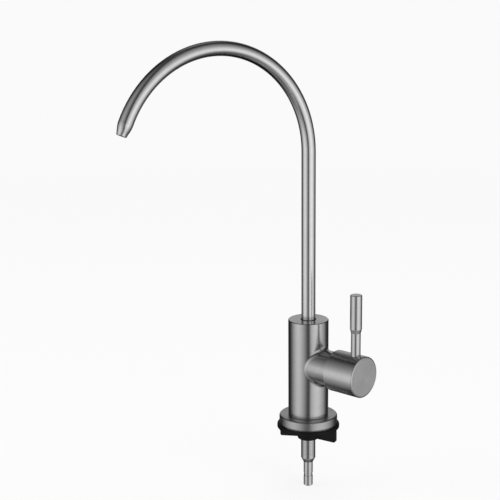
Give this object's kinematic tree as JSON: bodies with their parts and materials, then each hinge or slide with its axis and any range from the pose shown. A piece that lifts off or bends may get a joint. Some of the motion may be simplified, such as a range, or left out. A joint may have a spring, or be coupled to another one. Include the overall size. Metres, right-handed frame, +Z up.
{
  "type": "drinking water filter tap",
  "caption": "Gooseneck drinking water tap with a swivel spout, side pin lever on a quarter turn ceramic cartridge, round base flange, rubber gasket, threaded shank, wing nut and inlet tail.",
  "frame": {"origin": "on the axis of the body at the counter, under the base gasket", "axes": "+Z up along the body, +X out along the side arm, -Y towards the user, where the spout points turned 14 degrees away from the arm"},
  "size_m": [0.0857, 0.159, 0.3108],
  "materials": {
    "brushed_stainless": "fine brushed stainless steel",
    "plain_stainless": "turned or stamped stainless steel",
    "brass": "turned brass",
    "black_rubber": "moulded rubber",
    "black_plastic": "moulded nylon, satin",
    "white_acetal": "turned acetal",
    "fibre_seal": "pressed fibre",
    "alumina": "lapped alumina ceramic"
  },
  "bodies": {
    "base": {"tap_body": "brushed_stainless", "base_flange": "brushed_stainless", "base_gasket": "black_rubber", "threaded_shank": "brushed_stainless", "shank_seal": "fibre_seal", "inlet_tail": "brushed_stainless", "spout_bush": "black_plastic", "spout_grub_screw": "plain_stainless", "seat_seal": "black_rubber", "fixed_disc": "alumina", "cartridge_housing": "brass", "housing_oring": "black_rubber", "hub_glide_ring": "white_acetal"},
    "spout": {"spout_tube": "brushed_stainless", "spout_foot": "brass", "spout_oring_lower": "black_rubber", "spout_oring_upper": "black_rubber"},
    "handle": {"handle_hub": "brushed_stainless", "hub_end_cap": "brushed_stainless", "hub_screw": "plain_stainless", "handle_lever": "brushed_stainless", "spindle": "brass", "moving_disc": "alumina", "spindle_oring_inner": "black_rubber", "spindle_oring_outer": "black_rubber", "spindle_clip": "plain_stainless"},
    "nut_washer": {"slip_washer": "plain_stainless"},
    "nut": {"wing_nut": "black_plastic"}
  },
  "joints": [
    {"name": "spout_swivel", "type": "hinge", "parent": "base", "child": "spout", "pos_m": [0, 0, 0.0771], "axis": [0, 0, 1], "continuous": true},
    {"name": "handle_turn", "type": "hinge", "parent": "base", "child": "handle", "pos_m": [0.0481, 0, 0.0458], "axis": [1, 0, 0], "range_deg": [0, 90]},
    {"name": "nut_travel", "type": "slide", "parent": "base", "child": "nut_washer", "axis": [0, 0, -1], "range_m": [0, 0.0135]},
    {"name": "wing_nut_spin", "type": "hinge", "parent": "nut_washer", "child": "nut", "pos_m": [0, 0, 0], "axis": [0, 0, -1], "range_deg": [0, 4870]}
  ],
  "couplings": [
    {"joint": "wing_nut_spin", "follows": "nut_travel", "rad_per_m": 6283.2}
  ]
}
